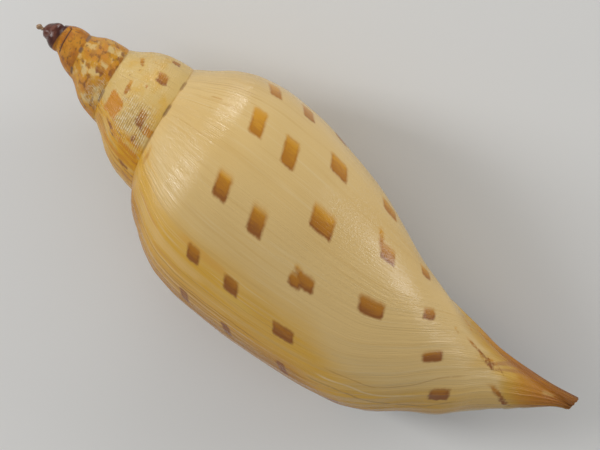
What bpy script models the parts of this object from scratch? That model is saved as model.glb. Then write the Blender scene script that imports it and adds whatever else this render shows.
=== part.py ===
"""Volute shell: one closed solid, lying with its aperture down.

The shell is modelled the way it grew. A whorl profile, hung from the suture, turns about the
columella and grows by a fixed factor each turn. Lengths are in millimetres until the mesh is
made, and in the shell's own frame: x runs down the axis from the apex to the canal tip, `left`
towards the outer lip and `up` towards the back of the shell. A turn of 0 is the lip and -1 is
one whorl earlier. The last step lays the shell on its lip and belly, on z = 0.
"""
import bisect
import math

import bmesh
import bpy
from mathutils import Matrix, Vector

MM = 0.001

# Overall form
SHELL_END = 162.4         # apex of the first whorl to the tip of the siphonal canal
LIP_AZIMUTH = 128.0       # where the last whorl ends, in degrees round from the back of the shell
FIRST_TURN = -4.5         # the first whorl of the protoconch starts here

# The suture, the spiral seam where each whorl joins the one above
SUTURE_RADIUS = 19.85     # at the lip
RADIUS_GROWTH = 1.72      # per turn
SUTURE_RISE = 54.0        # at the lip
RISE_GROWTH = 1.57        # per turn
SUTURE_START = -6.8
COIL_LEAN = 0.09          # the coils lean to one side by this share of their radius

# Whorl profiles at full size: (below the suture, outside the suture)
YOUNG_PROFILE = [(0, 0), (5, 3.3), (12, 8.9), (20, 12.5), (31, 14.3), (42, 13.8), (57, 10.7),
                 (70, 7.0), (80, 2.2), (90, -3.8), (100, -8.8), (125, -17)]
LIP_PROFILE = [(0, 0), (3, 4.2), (7.5, 7.6), (12.5, 11), (19, 13.8), (28, 15.1), (39, 15.3),
               (60, 14), (74, 12.2), (79.5, 9.9), (87, 3.8), (91.5, 1.1), (96, -3.4),
               (103.5, -9.2), (114, -17.8)]
PROFILE_CHANGE = (-0.72, -0.05)   # the turns between which the young profile becomes the lip's
BASE_STRETCH = (-0.62, -0.2)      # over these turns the base comes to reach the canal's tip
BASE_DEPTH = (60, 105)            # below the suture, where that stretch comes in

# The pillar that the whorls turn about, and the bends in its line: (along the shell, value)
COLUMELLA_RADIUS = [(0, 0.8), (60, 4.5), (112, 7.8), (120, 7.6), (130, 5.8), (140, 3.3),
                    (148, 2.4), (156, 1.9), (163, 2.1)]
INNER_COLUMELLA = 0.6     # share of that radius left on the aperture side
AXIS_BEND = [(0, 0), (5.5, -0.7), (20, 0), (100, -0.1), (125, -1.75), (140, -3.6), (163, -7.2)]

# Degrees by which growth lines and lip fall back towards the canal: (along the shell, value)
GROWTH_LAG = [(0, 0), (90, 0), (105, -2), (118, -15), (128, -31), (134, -38), (140, -45),
              (150, -51), (163, -55)]
TIP_SLANT = 0.6           # how much shorter the canal is on the lip's side

# The protoconch: a smooth dome of early whorls with a pointed bead, the calcarella, on top
DOME_TURN = -3.5          # the turn at which the dome ends and the sculptured whorls begin
DOME_TURNS = 1.5
DOME_HEIGHT = 4.1
DOME_RADIUS = 2.97
DOME_BULGE = 0.8
DOME_RINGS = (0.72, 0.44) # share of its radius at which the dome's top is divided
BEAD_RINGS = [(0.5, 0.0), (0.45, -0.5), (0.72, -0.95), (0.62, -1.5)]   # radius, place
BEAD_TIP = -1.9
FIRST_ROW_SHARE = 0.4     # the first row's points stand this much closer round the bead
BEAD_OFFSET = 0.7         # the bead stands to one side of the dome's middle

# Walls and cavity
WALL = 1.5
LIP_WALL = 0.9
CALLUS = 0.35             # glaze laid over the whorl inside the aperture
CANAL_RIM = 1.0           # shell left between the canal's channel and its tip
CHANNEL_RETREAT = 55.0    # how fast the channel's end draws back from the tip, in mm per turn
CAVITY_TURNS = 1.25       # how far in the open space winds before the whorls are filled

# How the free shell lies: turned about its axis, and tipped towards the canal
REST_ROLL = -6.0
REST_PITCH = 5.0
WORN_DEPTH = 0.5          # belly and lip are rubbed this much flatter where they carry the shell
WORN_LEFT = 0.1           # share of that depth which is left

# Facets
ROWS_PER_TURN = 36
BAND_STEPS = [0, 0.05, 0.13, 0.24, 0.38, 0.54, 0.70, 0.86, 1]   # suture to next suture
BASE_COLUMNS = 17         # next suture to canal tip, on the last whorl


def smooth_curve(points):
    """Return a function through the points that never overshoots them."""
    xs = [p[0] for p in points]
    ys = [p[1] for p in points]
    steps = [b - a for a, b in zip(xs, xs[1:])]
    slopes = [(b - a) / h for a, b, h in zip(ys, ys[1:], steps)]
    tangents = [slopes[0]]
    for i in range(1, len(slopes)):
        before, after = slopes[i - 1], slopes[i]
        if before * after <= 0:
            tangents.append(0.0)
            continue
        w1 = 2 * steps[i] + steps[i - 1]
        w2 = steps[i] + 2 * steps[i - 1]
        tangents.append((w1 + w2) / (w1 / before + w2 / after))
    tangents.append(slopes[-1])

    def value(x):
        if x <= xs[0]:
            return ys[0] + (x - xs[0]) * tangents[0]
        if x >= xs[-1]:
            return ys[-1] + (x - xs[-1]) * tangents[-1]
        i = bisect.bisect_right(xs, x) - 1
        h = steps[i]
        t = (x - xs[i]) / h
        return ((2 * t**3 - 3 * t**2 + 1) * ys[i] + (t**3 - 2 * t**2 + t) * h * tangents[i]
                + (3 * t**2 - 2 * t**3) * ys[i + 1] + (t**3 - t**2) * h * tangents[i + 1])

    return value


young_profile = smooth_curve(YOUNG_PROFILE)
lip_profile = smooth_curve(LIP_PROFILE)
columella_radius = smooth_curve(COLUMELLA_RADIUS)
axis_bend = smooth_curve(AXIS_BEND)
growth_lag = smooth_curve(GROWTH_LAG)


def ramp(x, start, end):
    """Ease from 0 at start to 1 at end."""
    t = min(max((x - start) / (end - start), 0.0), 1.0)
    return t * t * (3 - 2 * t)


def soft_max(a, b, width):
    """The larger of two values, rounded off where they cross."""
    h = min(max(0.5 + 0.5 * (a - b) / width, 0.0), 1.0)
    return b + (a - b) * h + width * h * (1 - h)


def azimuth(turn):
    """Angle round from the back of the shell, in radians."""
    return math.radians(LIP_AZIMUTH + 360 * turn)


def suture(turn):
    """Distance of the suture from the axis, and its place along the shell."""
    if turn < DOME_TURN:
        q = min((DOME_TURN - turn) / DOME_TURNS, 1.0)
        return DOME_RADIUS * math.sqrt(1 - q * q), DOME_HEIGHT * (1 - q)
    r = SUTURE_RADIUS * RADIUS_GROWTH**turn
    x = SUTURE_START + SUTURE_RISE * RISE_GROWTH**turn
    return r, x - COIL_LEAN * r * math.sin(azimuth(turn))


LIP_SEAM = suture(0)[1]


def outer_radius(turn, x):
    """Distance of the outer surface from the axis."""
    r, seam = suture(turn)
    below = (x - seam) / RISE_GROWTH**turn
    stretched = (x - seam) * (SHELL_END - LIP_SEAM) / (SHELL_END - seam)
    share = ramp(turn, *BASE_STRETCH) * ramp(below, *BASE_DEPTH)
    below = below * (1 - share) + stretched * share
    grown = ramp(turn, *PROFILE_CHANGE)
    profile = young_profile(below) * (1 - grown) + lip_profile(below) * grown
    surface = r + RADIUS_GROWTH**turn * profile
    dome = ramp(turn, DOME_TURN + 0.05, DOME_TURN - 0.25)
    if dome > 0:
        next_r, next_seam = suture(turn + 1)
        f = min(max((x - seam) / (next_seam - seam), 0.0), 1.0)
        rounded = r + (next_r - r) * f**1.3 + DOME_BULGE * math.sin(math.pi * f)
        surface = surface * (1 - dome) + rounded * dome
    if turn < -2.6:
        return surface
    share = INNER_COLUMELLA + (1 - INNER_COLUMELLA) * ramp(turn, -1.0, -0.6)
    return soft_max(surface, share * columella_radius(x), 2.0)


def wall(turn, x):
    """Thickness of the shell, thinner at the lip edge, the canal and the early whorls."""
    thickness = LIP_WALL + (WALL - LIP_WALL) * ramp(turn, 0.0, -0.06)
    thickness *= 0.45 + 0.55 * ramp(x, SHELL_END, 110)
    return thickness * RADIUS_GROWTH**(0.6 * turn)


def place(angle, r, x):
    """A point in the shell's frame: along the axis, left and up."""
    return Vector((x, r * math.sin(angle) + axis_bend(x), r * math.cos(angle)))


def surface_point(turn, x):
    """A point on the growth line of this turn."""
    lagged = turn + growth_lag(x) / 360
    return place(azimuth(lagged), outer_radius(lagged, x), x)


def canal_end(turn):
    """Where this growth line reaches the slanting tip of the canal."""
    lagged = turn + growth_lag(SHELL_END) / 360
    return SHELL_END - TIP_SLANT * (0.5 + 0.5 * math.sin(azimuth(lagged)))


def seam_point(turn, seam_turn):
    """A point of the suture, which is also the foot of the whorl above."""
    r, x = suture(seam_turn)
    return place(azimuth(turn), r, x)


def cavity_section(turn, outer_steps, inner_steps):
    """The open space of one turn: its outer side, then its inner side."""
    seam = suture(turn)[1]
    tip = canal_end(0) - CANAL_RIM
    last = min(seam + (tip - LIP_SEAM) * RISE_GROWTH**turn, tip + turn * CHANNEL_RETREAT)

    def sides(x):
        lagged = turn + growth_lag(x) / 360
        outer = outer_radius(lagged, x) - wall(turn, x)
        inner = outer_radius(lagged - 1, x) + CALLUS * RADIUS_GROWTH**turn
        return azimuth(lagged), outer, inner

    least_gap = 0.3 * RADIUS_GROWTH**turn
    samples = [seam + (last - seam) * i / 300 for i in range(301)]
    is_open = [sides(x)[1] - sides(x)[2] > least_gap for x in samples]
    middle = len(samples) // 2
    first = middle
    while first > 0 and is_open[first - 1]:
        first -= 1
    final = middle
    while final < len(samples) - 1 and is_open[final + 1]:
        final += 1
    start, length = samples[first], samples[final] - samples[first]

    section = []
    for step in outer_steps:
        x = start + length * step
        angle, outer, inner = sides(x)
        section.append(place(angle, outer, x))
    for step in reversed(inner_steps):
        x = start + length * step
        angle, outer, inner = sides(x)
        section.append(place(angle, inner, x))
    return section


def loft(mesh, first, second):
    """Quads between two open rows of the same length."""
    for a, b, c, d in zip(first, first[1:], second[1:], second):
        mesh.faces.new((a, b, c, d))


def add_whorls(mesh):
    """The outside, suture to suture, then the base of the last whorl down to the canal."""
    count = round(-FIRST_TURN * ROWS_PER_TURN)
    band = []
    for k in range(count + 1):
        turn = (k - count) / ROWS_PER_TURN
        top, bottom = suture(turn)[1], suture(turn + 1)[1]
        if k < ROWS_PER_TURN:
            row = [mesh.verts.new(seam_point(turn, turn))]
        else:
            row = [band[k - ROWS_PER_TURN][-1]]
        for step in BAND_STEPS[1:-1]:
            row.append(mesh.verts.new(surface_point(turn, top + (bottom - top) * step)))
        if k <= count - ROWS_PER_TURN:
            row.append(mesh.verts.new(seam_point(turn, turn + 1)))
        else:
            row.append(mesh.verts.new(surface_point(turn, bottom)))
        band.append(row)
    base = []
    for row, k in zip(band[-ROWS_PER_TURN - 1:], range(ROWS_PER_TURN + 1)):
        turn = k / ROWS_PER_TURN - 1
        top = suture(turn + 1)[1]
        line = [row[-1]]
        for j in range(1, BASE_COLUMNS + 1):
            x = top + (canal_end(turn) - top) * j / BASE_COLUMNS
            line.append(mesh.verts.new(surface_point(turn, x)))
        base.append(line)
    for rows in (band, base):
        for before, after in zip(rows, rows[1:]):
            loft(mesh, before, after)
    return band, base


def add_bead(mesh, band):
    """Close the top of the dome, and set the calcarella on it."""
    first_row = band[0]
    loop = [row[0] for row in band[:ROWS_PER_TURN + 1]] + first_row[-2:0:-1]
    turned = [min(i, ROWS_PER_TURN) / ROWS_PER_TURN for i in range(len(loop))]
    steps = [1.0 if i < ROWS_PER_TURN else FIRST_ROW_SHARE for i in range(len(loop))]
    spread = [sum(steps[:i]) / sum(steps) for i in range(len(loop))]
    start = azimuth(FIRST_TURN)
    rings = []
    for share in DOME_RINGS:
        ring = []
        for v, a, b in zip(loop, turned, spread):
            angle = start + 2 * math.pi * (a * share + b * (1 - share))
            r = share * math.hypot(v.co.y, v.co.z)
            level = DOME_HEIGHT * (1 - math.sqrt(1 - min(r / DOME_RADIUS, 1.0)**2))
            ring.append((level, r * math.sin(angle), r * math.cos(angle)))
        rings.append(ring)
    for r, level in BEAD_RINGS:
        angles = [start + 2 * math.pi * b for b in spread]
        rings.append([(level, BEAD_OFFSET + r * math.sin(a), r * math.cos(a)) for a in angles])
    previous = loop
    for points in rings:
        ring = [mesh.verts.new(p) for p in points]
        loft(mesh, previous + previous[:1], ring + ring[:1])
        previous = ring
    tip = mesh.verts.new((BEAD_TIP, BEAD_OFFSET, 0))
    for a, b in zip(previous, previous[1:] + previous[:1]):
        mesh.faces.new((a, b, tip))


def add_cavity(mesh, lip, pillar):
    """The open space behind the lip, and the rim that joins it to the outside."""
    spans = []
    for line in (lip, pillar):
        start, end = line[0].co.x, line[-1].co.x
        spans.append([(v.co.x - start) / (end - start) for v in line])
    loops = []
    for k in range(round(CAVITY_TURNS * ROWS_PER_TURN) + 1):
        points = cavity_section(-k / ROWS_PER_TURN, *spans)
        loops.append([mesh.verts.new(p) for p in points])
    for before, after in zip(loops, loops[1:]):
        loft(mesh, after + after[:1], before + before[:1])
    return loops[0][:len(lip)], loops[0][:len(lip) - 1:-1], loops[-1]


def close_inner_end(mesh, loop, outer_count):
    """A flat wall across the last section of the cavity."""
    outer, inner = loop[:outer_count], loop[:outer_count - 1:-1]
    i = j = 0
    while i < len(outer) - 1 or j < len(inner) - 1:
        next_outer = outer[i + 1].co.x if i < len(outer) - 1 else math.inf
        next_inner = inner[j + 1].co.x if j < len(inner) - 1 else math.inf
        if next_outer <= next_inner:
            mesh.faces.new((outer[i], outer[i + 1], inner[j]))
            i += 1
        else:
            mesh.faces.new((outer[i], inner[j + 1], inner[j]))
            j += 1


def add_rim(mesh, lip, pillar, tip_edge, outer, inner):
    """The cut edge of the shell: lip, canal tip and the edge of the glaze on the pillar."""
    loft(mesh, lip, outer)
    loft(mesh, inner, pillar)
    mesh.faces.new((lip[0], outer[0], inner[0]))
    middle = sum((v.co.x for v in tip_edge), 0.0) / len(tip_edge)
    centre = mesh.verts.new(place(0.0, 0.0, middle))
    for a, b in zip(tip_edge, tip_edge[1:] + tip_edge[:1]):
        mesh.faces.new((a, b, centre))
    mesh.faces.new((outer[-1], tip_edge[0], tip_edge[-1], inner[-1]))


def resting_place():
    """Turn the shell's frame into the world's, lying as the free shell lies."""
    to_world = Matrix(((1, 0, 0), (0, -1, 0), (0, 0, 1))).to_4x4()
    roll = Matrix.Rotation(math.radians(REST_ROLL), 4, 'X')
    pitch = Matrix.Rotation(math.radians(REST_PITCH), 4, 'Y')
    return Matrix.Scale(MM, 4) @ pitch @ roll @ to_world


def rub_flat(mesh):
    """Flatten the lowest spots, so that the shell lies on small patches and not on points."""
    edge = min(v.co.z for v in mesh.verts) + WORN_DEPTH * MM
    for v in mesh.verts:
        if v.co.z < edge:
            v.co.z = edge + (v.co.z - edge) * WORN_LEFT


def shell_material():
    material = bpy.data.materials.new("glossy_shell")
    material.use_nodes = True
    shader = material.node_tree.nodes["Principled BSDF"]
    shader.inputs["Base Color"].default_value = (0.68, 0.50, 0.25, 1)
    shader.inputs["Roughness"].default_value = 0.35
    shader.inputs["Metallic"].default_value = 0.0
    return material


def build_shell(collection):
    mesh = bmesh.new()
    band, base = add_whorls(mesh)
    add_bead(mesh, band)
    lip = band[-1] + base[-1][1:]
    pillar = base[0]
    tip_edge = [line[-1] for line in reversed(base)]
    outer, inner, innermost = add_cavity(mesh, lip, pillar)
    close_inner_end(mesh, innermost, len(lip))
    add_rim(mesh, lip, pillar, tip_edge, outer, inner)
    mesh.transform(resting_place())
    rub_flat(mesh)
    low = [min(v.co[i] for v in mesh.verts) for i in range(3)]
    high = [max(v.co[i] for v in mesh.verts) for i in range(3)]
    middle = Vector(((low[0] + high[0]) / 2, (low[1] + high[1]) / 2, low[2]))
    bmesh.ops.translate(mesh, verts=mesh.verts, vec=-middle)
    bmesh.ops.triangulate(mesh, faces=mesh.faces)
    bmesh.ops.recalc_face_normals(mesh, faces=mesh.faces)
    data = bpy.data.meshes.new("volute_shell")
    mesh.to_mesh(data)
    mesh.free()
    shell = bpy.data.objects.new("volute_shell", data)
    data.materials.append(shell_material())
    collection.objects.link(shell)
    return shell


def main():
    for old in list(bpy.data.objects):
        bpy.data.objects.remove(old, do_unlink=True)
    collection = bpy.data.collections.new("volute_shell")
    bpy.context.scene.collection.children.link(collection)
    build_shell(collection)


main()
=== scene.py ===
"""Volute shell: the dressed model, on a pale floor under soft studio light.

The surface follows the same growth formulas as the CAD solid, on a finer grid, with growth lines,
columellar folds, a worn lip edge and a ragged canal tip as real relief. Lengths are in millimetres
until the mesh is made. In the shell's own frame x runs down the axis from the apex to the canal
tip, `left` towards the outer lip and `up` towards the back. A turn of 0 is the lip and -1 is one
whorl earlier. Markings are laid out by their place on the growing shell: the turn at which they
were laid down, and the distance below the suture at the size of the last whorl.
"""
import math

import bmesh
import bpy
import numpy as np
from mathutils import Matrix, Vector


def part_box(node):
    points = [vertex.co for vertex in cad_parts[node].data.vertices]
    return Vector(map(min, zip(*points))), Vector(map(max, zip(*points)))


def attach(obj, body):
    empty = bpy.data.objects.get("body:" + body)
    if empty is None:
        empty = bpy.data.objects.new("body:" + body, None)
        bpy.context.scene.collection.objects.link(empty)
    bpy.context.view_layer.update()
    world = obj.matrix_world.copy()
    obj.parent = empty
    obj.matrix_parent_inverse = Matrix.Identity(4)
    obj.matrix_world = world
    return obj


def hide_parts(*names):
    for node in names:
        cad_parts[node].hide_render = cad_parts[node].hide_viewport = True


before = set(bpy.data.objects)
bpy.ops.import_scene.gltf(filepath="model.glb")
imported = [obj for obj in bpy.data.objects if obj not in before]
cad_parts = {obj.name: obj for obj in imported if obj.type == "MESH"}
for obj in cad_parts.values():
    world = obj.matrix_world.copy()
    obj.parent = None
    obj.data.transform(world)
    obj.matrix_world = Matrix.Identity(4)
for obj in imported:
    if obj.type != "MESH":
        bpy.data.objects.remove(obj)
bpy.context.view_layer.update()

MM = 0.001

# ---- the form, as in the CAD solid
SHELL_END = 162.4
LIP_AZIMUTH = 128.0
FIRST_TURN = -4.5
SUTURE_RADIUS = 19.85
RADIUS_GROWTH = 1.72
SUTURE_RISE = 54.0
RISE_GROWTH = 1.57
SUTURE_START = -6.8
COIL_LEAN = 0.09
YOUNG_PROFILE = [(0, 0), (5, 3.3), (12, 8.9), (20, 12.5), (31, 14.3), (42, 13.8), (57, 10.7),
                 (70, 7.0), (80, 2.2), (90, -3.8), (100, -8.8), (125, -17)]
LIP_PROFILE = [
    (0, 0), (3, 4.2), (7.5, 7.6), (12.5, 11), (19, 13.8), (28, 15.1), (39, 15.3), (60, 14),
    (74, 12.2), (79.5, 9.9), (87, 3.8), (91.5, 1.1), (96, -3.4), (103.5, -9.2), (114, -17.8),
]
PROFILE_CHANGE = (-0.72, -0.05)
BASE_STRETCH = (-0.62, -0.2)
BASE_DEPTH = (60, 105)
COLUMELLA_RADIUS = [(0, 0.8), (60, 4.5), (112, 7.8), (120, 7.6), (130, 5.8), (140, 3.3),
                    (148, 2.4), (156, 1.9), (163, 2.1)]
INNER_COLUMELLA = 0.6
COLUMELLA_BLEND = 2.0
COLUMELLA_FROM = -2.6
AXIS_BEND = [(0, 0), (5.5, -0.7), (20, 0), (100, -0.1), (125, -1.75), (140, -3.6), (163, -7.2)]
GROWTH_LAG = [(0, 0), (90, 0), (105, -2), (118, -15), (128, -31), (134, -38), (140, -45),
              (150, -51), (163, -55)]
TIP_SLANT = 0.6
DOME_TURN = -3.5
DOME_TURNS = 1.5
DOME_HEIGHT = 4.1
DOME_RADIUS = 2.97
DOME_BULGE = 0.8
DOME_ROUNDNESS = 1.3
WALL = 1.5
LIP_WALL = 0.9
LIP_WALL_TURNS = 0.06
CANAL_WALL = 0.45
CANAL_WALL_FROM = 110
WALL_GROWTH = 0.6
CALLUS = 0.35
CANAL_RIM = 1.0
CHANNEL_RETREAT = 55.0
CAVITY_TURNS = 1.25
REST_ROLL = -6.0
REST_PITCH = 5.0
WORN_DEPTH = 0.5
WORN_LEFT = 0.1

# ---- the finer grid
ROWS_PER_TURN = 240
BAND_COLUMNS = 40         # suture to next suture
BASE_COLUMNS = 96         # next suture to canal tip, on the last whorl
CAVITY_ROWS = 72          # per turn
RIM_STEPS = 3             # round the cut edge of the lip
RIM_BULGE = 0.42          # how far that edge swells, as a share of the wall


def smooth_curve(points):
    """Return a function of an array that passes through the points and never overshoots them."""
    xs, ys = np.array(points, float).T
    steps = np.diff(xs)
    slopes = np.diff(ys) / steps
    tangents = np.zeros(len(xs))
    tangents[0], tangents[-1] = slopes[0], slopes[-1]
    for i in range(1, len(slopes)):
        before, after = slopes[i - 1], slopes[i]
        if before * after > 0:
            w1 = 2 * steps[i] + steps[i - 1]
            w2 = steps[i] + 2 * steps[i - 1]
            tangents[i] = (w1 + w2) / (w1 / before + w2 / after)

    def value(x):
        x = np.asarray(x, float)
        i = np.clip(np.searchsorted(xs, x, side="right") - 1, 0, len(xs) - 2)
        h = steps[i]
        t = np.clip((x - xs[i]) / h, 0, 1)
        inside = ((2 * t**3 - 3 * t**2 + 1) * ys[i] + (t**3 - 2 * t**2 + t) * h * tangents[i]
                  + (3 * t**2 - 2 * t**3) * ys[i + 1] + (t**3 - t**2) * h * tangents[i + 1])
        return (inside + np.minimum(x - xs[0], 0) * tangents[0]
                + np.maximum(x - xs[-1], 0) * tangents[-1])

    return value


young_profile = smooth_curve(YOUNG_PROFILE)
lip_profile = smooth_curve(LIP_PROFILE)
columella_radius = smooth_curve(COLUMELLA_RADIUS)
axis_bend = smooth_curve(AXIS_BEND)
growth_lag = smooth_curve(GROWTH_LAG)


def ramp(x, start, end):
    """Ease from 0 at start to 1 at end."""
    t = np.clip((np.asarray(x, float) - start) / (end - start), 0, 1)
    return t * t * (3 - 2 * t)


def soft_max(a, b, width):
    """The larger of two values, rounded off where they cross."""
    h = np.clip(0.5 + 0.5 * (a - b) / width, 0, 1)
    return b + (a - b) * h + width * h * (1 - h)


def azimuth(turn):
    """Angle round from the back of the shell, in radians."""
    return np.radians(LIP_AZIMUTH + 360 * np.asarray(turn, float))


def suture(turn):
    """Distance of the suture from the axis, and its place along the shell."""
    turn = np.asarray(turn, float)
    q = np.clip((DOME_TURN - turn) / DOME_TURNS, 0, 1)
    r = SUTURE_RADIUS * RADIUS_GROWTH**turn
    x = SUTURE_START + SUTURE_RISE * RISE_GROWTH**turn - COIL_LEAN * r * np.sin(azimuth(turn))
    dome = turn < DOME_TURN
    return (np.where(dome, DOME_RADIUS * np.sqrt(1 - q * q), r),
            np.where(dome, DOME_HEIGHT * (1 - q), x))


LIP_SEAM = float(suture(0)[1])


def whorl(turn, x):
    """Distance of the plain outer surface from the axis, and the place below the suture."""
    turn, x = np.broadcast_arrays(np.asarray(turn, float), np.asarray(x, float))
    r, seam = suture(turn)
    below = (x - seam) / RISE_GROWTH**turn
    stretched = (x - seam) * (SHELL_END - LIP_SEAM) / (SHELL_END - seam)
    share = ramp(turn, *BASE_STRETCH) * ramp(below, *BASE_DEPTH)
    below = below * (1 - share) + stretched * share
    grown = ramp(turn, *PROFILE_CHANGE)
    profile = young_profile(below) * (1 - grown) + lip_profile(below) * grown
    surface = r + RADIUS_GROWTH**turn * profile
    dome = ramp(turn, DOME_TURN + 0.05, DOME_TURN - 0.25)
    next_r, next_seam = suture(turn + 1)
    f = np.clip((x - seam) / (next_seam - seam), 0, 1)
    rounded = r + (next_r - r) * f**DOME_ROUNDNESS + DOME_BULGE * np.sin(math.pi * f)
    surface = surface * (1 - dome) + rounded * dome
    share = INNER_COLUMELLA + (1 - INNER_COLUMELLA) * ramp(turn, -1.0, -0.6)
    held = soft_max(surface, share * columella_radius(x), COLUMELLA_BLEND)
    return np.where(turn < COLUMELLA_FROM, surface, held), below


def wall(turn, x):
    """Thickness of the shell, thinner at the lip edge, the canal and the early whorls."""
    thickness = LIP_WALL + (WALL - LIP_WALL) * ramp(turn, 0.0, -LIP_WALL_TURNS)
    thinned = CANAL_WALL + (1 - CANAL_WALL) * ramp(x, SHELL_END, CANAL_WALL_FROM)
    return thickness * thinned * RADIUS_GROWTH**(WALL_GROWTH * np.asarray(turn, float))


def place(angle, r, x):
    """Points in the shell's frame: along the axis, left and up."""
    angle, r, x = np.broadcast_arrays(angle, r, x)
    return np.stack([x, r * np.sin(angle) + axis_bend(x), r * np.cos(angle)], axis=-1)


def lagged(turn, x):
    """The turn at which the plain surface stands where this growth line passes."""
    return np.asarray(turn, float) + growth_lag(x) / 360


# ---- relief
def value_noise(seed, a, b, size=64):
    """Seeded smooth noise from -1 to 1 over two coordinates, with a period of `size` cells."""
    table = np.random.default_rng(seed).uniform(-1, 1, (size, size))
    a, b = np.broadcast_arrays(np.asarray(a, float), np.asarray(b, float))
    i, j = np.floor(a).astype(int), np.floor(b).astype(int)
    s, t = a - i, b - j
    s, t = s * s * (3 - 2 * s), t * t * (3 - 2 * t)
    i0, i1, j0, j1 = i % size, (i + 1) % size, j % size, (j + 1) % size
    return ((table[i0, j0] * (1 - s) + table[i1, j0] * s) * (1 - t)
            + (table[i0, j1] * (1 - s) + table[i1, j1] * s) * t)


# Low swells: seed, number in a turn, height. Old lip edges: turn, height, width in turns
GROWTH_SWELLS = [(11, 26, 0.05), (12, 52, 0.035), (13, 98, 0.03)]
GROWTH_MARKS = [
    (-0.258, 0.08, 0.003), (-0.232, 0.1, 0.003), (-0.205, 0.1, 0.003), (-0.174, 0.18, 0.003),
    (-0.15, 0.12, 0.003), (-0.128, 0.2, 0.0035), (-0.1, 0.13, 0.003), (-0.071, 0.16, 0.003),
    (-0.04, 0.12, 0.0025),
]
OLD_WHORL_RELIEF = 0.35   # share of that left on the early whorls
SPIRE_FOLDS = 22          # low axial folds in a turn of the early whorls
SPIRE_FOLD_HEIGHT = 0.22
NECK_GROOVE = 7.6         # below the suture of the first whorl after the dome
GROOVE_WIDTH = 0.9
GROOVE_DEPTH = 0.14


def outer_relief(turn, x, below):
    """Height of growth lines, old lip edges and spire sculpture over the plain surface."""
    scale = RADIUS_GROWTH**np.minimum(turn, 0)
    height = 0
    for seed, count, size in GROWTH_SWELLS:
        height = height + size * value_noise(seed, turn * count, below * 0.035 + 7)
    for mark, size, width in GROWTH_MARKS:
        drift = 0.003 * value_noise(21, mark * 90, below * 0.06)
        height = height + size * np.exp(-((turn - mark - drift) / width)**2)
    height = height * (OLD_WHORL_RELIEF + (1 - OLD_WHORL_RELIEF) * ramp(turn, -0.95, -0.3))
    folds = np.sin(2 * math.pi * SPIRE_FOLDS * turn + 0.05 * below)
    height = height + SPIRE_FOLD_HEIGHT * folds * ramp(turn, -1.3, -1.9) * ramp(below, 1, 8)
    height = height * scale * ramp(below, 0, 2.4)
    groove = np.exp(-((below - NECK_GROOVE) / GROOVE_WIDTH)**2) * ramp(turn, -3.56, -3.5)
    height = height - GROOVE_DEPTH * groove * ramp(turn, -3.18, -3.24)
    return height * (1 - ramp(turn, DOME_TURN + 0.05, DOME_TURN))


# Waves in the lip's edge, and in the canal's tip: seed, number in a mm or a turn, shift, height
LIP_WAVES = [(31, 0.16, 3.3, 0.3), (32, 0.55, 1.7, 0.16)]
TIP_WAVES = [(41, 9, 0.5, 0.6), (42, 25, 0.5, 0.4)]
TIP_RAGGED = 0.55         # how deep the tip's waves cut
TIP_CUT_FROM = -0.35      # the wave height at which they start to
# Chips in the lip's edge: place along the shell, width, depth
LIP_CHIPS = [(127.8, 0.5, 1.4), (131.0, 2.4, 0.8), (146.6, 2.2, 1.8), (151.4, 1.0, 1.0),
             (155.0, 0.9, 0.7), (121.0, 1.6, 0.6), (96, 1.5, 0.3), (72, 2.0, 0.25)]
WORN_TURNS = 0.025        # how far behind the edge its wear is felt
LEAST_RADIUS = 4.0


def waves(table, place):
    return sum(height * value_noise(seed, place * rate, shift)
               for seed, rate, shift, height in table)


def lip_wear(x):
    """How far the lip edge falls short or runs on at this place, in turns."""
    wave = waves(LIP_WAVES, x)
    for centre, width, depth in LIP_CHIPS:
        wave = wave - depth * np.exp(-((x - centre) / width)**4)
    radius = np.maximum(whorl(lagged(0, x), x)[0], LEAST_RADIUS)
    return wave / (2 * math.pi * radius)


def worn_turn(turn, x):
    return turn + lip_wear(x) * ramp(turn, -WORN_TURNS, 0)


def surface(turn, x, relief):
    """Points on the growth line of this turn, and the place below the suture."""
    turn = worn_turn(turn, x)
    slow = lagged(turn, x)
    r, below = whorl(slow, x)
    if relief:
        r = r + outer_relief(turn, x, below)
    return place(azimuth(slow), r, x), below, turn


def canal_end(turn, relief):
    """Where this growth line reaches the slanting, ragged tip of the canal."""
    slow = lagged(turn, SHELL_END)
    end = SHELL_END - TIP_SLANT * (0.5 + 0.5 * np.sin(azimuth(slow)))
    if relief:
        end = end - TIP_RAGGED * np.maximum(waves(TIP_WAVES, turn) - TIP_CUT_FROM, 0)
    return end


FOLD_PLACES = (88.0, 97.0, 106.0, 115.0, 123.0)    # below the suture of the whorl inside
FOLD_HEIGHTS = (0.5, 0.85, 0.95, 0.8, 0.5)
FOLD_WIDTH = 2.1
FOLD_CLEARANCE = 0.6      # left between a fold and the wall across from it
LEAST_GAP = 0.3           # where the space is narrower than this, it is closed
GAP_STEPS = 300


def columella_folds(turn, x):
    """The oblique folds that wind up the pillar inside the aperture."""
    below = whorl(turn - 1, x)[1]
    height = 0
    for where, size in zip(FOLD_PLACES, FOLD_HEIGHTS):
        height = height + size * np.exp(-((below - where) / FOLD_WIDTH)**2)
    return height * ramp(turn, 0.0, -0.05)


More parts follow.
